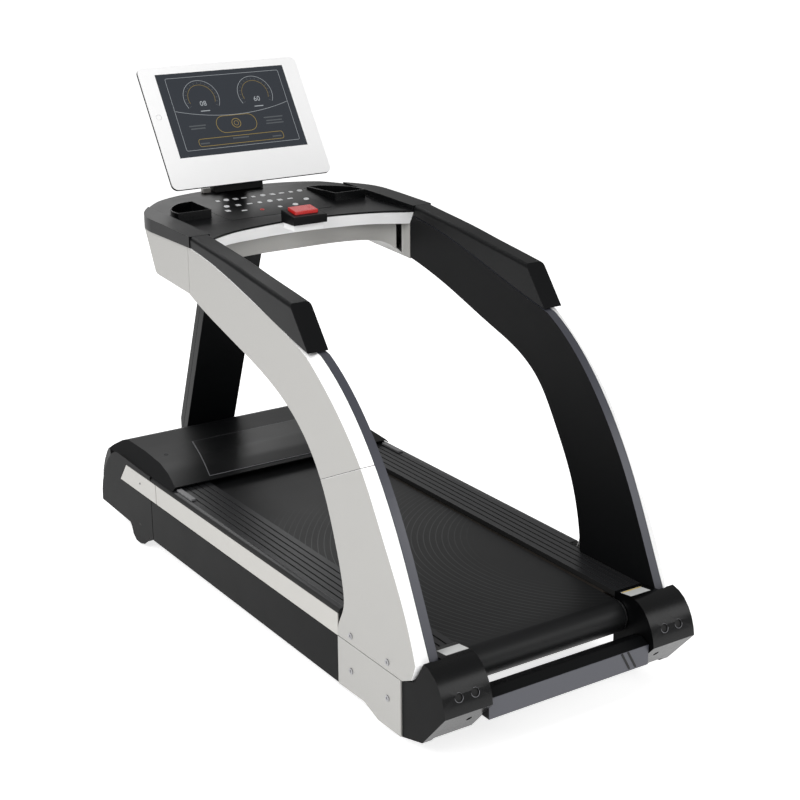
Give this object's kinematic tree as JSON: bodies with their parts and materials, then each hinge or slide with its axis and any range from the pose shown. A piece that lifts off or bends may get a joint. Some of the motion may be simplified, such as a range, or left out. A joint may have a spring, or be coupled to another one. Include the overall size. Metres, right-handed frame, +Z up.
{
  "type": "treadmill",
  "caption": "Gym treadmill: ribbed running base, two curved side arms, leaning pedestal, console with trays, tilting display and a swing-down incline frame.",
  "frame": {"origin": "on the floor under the middle of the machine's length and width", "axes": "+X to the user's right, +Y to the front of the machine, where the console is, +Z up"},
  "size_m": [0.874, 2.16, 1.6075],
  "materials": {
    "silver_cover": "satin painted moulding",
    "white_strip": "gloss",
    "black_cover": "satin moulding",
    "black_gloss": "gloss moulding",
    "grey_edge": "satin",
    "frame_steel": "black powder coat",
    "roller_steel": "turned",
    "bright_steel": "bright plated",
    "motor_paint": "enamel",
    "alloy": "cast and anodised",
    "belt_rubber": "matt with a fine tread",
    "soft_rubber": "matt",
    "deck_board": "waxed laminate",
    "rail_plastic": "ribbed satin",
    "display_white": "gloss",
    "screen": "polished, opaque behind",
    "red_button": "gloss",
    "silver_trim": "satin anodised"
  },
  "bodies": {
    "base": {"arm_frames": "frame_steel", "arm_inner_left": "black_cover", "arm_inner_right": "black_cover", "arm_outer_lower_left": "silver_cover", "arm_outer_lower_right": "silver_cover", "arm_outer_upper_left": "silver_cover", "arm_outer_upper_right": "silver_cover", "belly_pan": "black_cover", "console_bottom": "silver_cover", "console_strip": "white_strip", "console_top": "black_cover", "cup_trays": "black_cover", "deck_cross_members": "frame_steel", "deck_cushions": "soft_rubber", "deck_frame": "frame_steel", "display_bracket": "black_cover", "drive_belt": "soft_rubber", "drive_motor": "motor_paint", "foot_rail_left": "rail_plastic", "foot_rail_right": "rail_plastic", "front_side_covers": "black_gloss", "handrail_cap_left": "black_cover", "handrail_cap_right": "black_cover", "incline_motor": "motor_paint", "keypad_panel": "black_gloss", "motor_controller": "alloy", "motor_hood": "black_cover", "pedestal_cover_front": "black_cover", "pedestal_cover_rear": "black_cover", "pedestal_frame": "frame_steel", "power_inlet": "black_cover", "rear_beam": "grey_edge", "rear_end_cap_left": "black_gloss", "rear_end_cap_right": "black_gloss", "roller_axles": "bright_steel", "roller_bearings": "bright_steel", "running_belt": "belt_rubber", "running_deck": "deck_board", "side_bolts": "bright_steel", "side_plates": "silver_cover", "side_skirts": "black_cover", "side_trim_left": "silver_trim", "side_trim_right": "silver_trim", "stop_block": "black_cover", "tension_bolts": "bright_steel"},
    "front_roller": {"front_roller": "roller_steel"},
    "rear_roller": {"rear_roller": "roller_steel"},
    "motor_rotor": {"motor_rotor": "alloy"},
    "incline": {"incline_frame": "frame_steel"},
    "wheel_left": {"incline_wheel_left": "soft_rubber"},
    "wheel_right": {"incline_wheel_right": "soft_rubber"},
    "lift_screw": {"incline_screw": "bright_steel"},
    "display": {"display_housing": "display_white", "display_bezel": "display_white", "display_screen": "screen"},
    "display_button": {"display_button": "display_white"},
    "stop_button": {"stop_button": "red_button"},
    "power_switch": {"power_switch": "black_gloss"},
    "foot_left": {"levelling_foot_left": "soft_rubber"},
    "foot_right": {"levelling_foot_right": "soft_rubber"}
  },
  "joints": [
    {"name": "front_roller_spin", "type": "hinge", "parent": "base", "child": "front_roller", "pos_m": [0, 0.705, 0.222], "axis": [1, 0, 0], "continuous": true},
    {"name": "rear_roller_spin", "type": "hinge", "parent": "base", "child": "rear_roller", "pos_m": [0, -0.927, 0.222], "axis": [1, 0, 0], "continuous": true},
    {"name": "motor_spin", "type": "hinge", "parent": "base", "child": "motor_rotor", "pos_m": [0, 0.9, 0.236], "axis": [1, 0, 0], "continuous": true},
    {"name": "incline_swing", "type": "hinge", "parent": "base", "child": "incline", "pos_m": [0, 0.48, 0.14], "axis": [-1, 0, 0], "range_deg": [0, 45]},
    {"name": "lift_screw_slide", "type": "slide", "parent": "base", "child": "lift_screw", "axis": [0, -1, 0], "range_m": [0, 0.0383]},
    {"name": "wheel_left_roll", "type": "hinge", "parent": "incline", "child": "wheel_left", "pos_m": [-0.39, 0.777, 0.04], "axis": [1, 0, 0], "continuous": true},
    {"name": "wheel_right_roll", "type": "hinge", "parent": "incline", "child": "wheel_right", "pos_m": [0.39, 0.777, 0.04], "axis": [1, 0, 0], "continuous": true},
    {"name": "display_tilt", "type": "hinge", "parent": "base", "child": "display", "pos_m": [0, 0.735, 1.303], "axis": [1, 0, 0], "range_deg": [-12, 12]},
    {"name": "display_button_press", "type": "slide", "parent": "display", "child": "display_button", "axis": [0, 0.8368, -0.5476], "range_m": [0, 0.0015], "stiffness_N_per_m": 600, "springref_m": -0.001},
    {"name": "stop_button_press", "type": "slide", "parent": "base", "child": "stop_button", "axis": [0, 0, -1], "range_m": [0, 0.003], "stiffness_N_per_m": 1500, "springref_m": -0.003},
    {"name": "power_switch_rock", "type": "hinge", "parent": "base", "child": "power_switch", "pos_m": [0.307, 1.06, 0.09], "axis": [1, 0, 0], "range_deg": [-8, 8]},
    {"name": "foot_left_screw_out", "type": "slide", "parent": "base", "child": "foot_left", "axis": [0, 0, -1], "range_m": [0, 0.012]},
    {"name": "foot_right_screw_out", "type": "slide", "parent": "base", "child": "foot_right", "axis": [0, 0, -1], "range_m": [0, 0.012]}
  ],
  "couplings": [
    {"joint": "rear_roller_spin", "follows": "front_roller_spin", "ratio": 1},
    {"joint": "motor_spin", "follows": "front_roller_spin", "ratio": 2.8182},
    {"joint": "lift_screw_slide", "follows": "incline_swing", "m_per_rad": 0.048725}
  ]
}
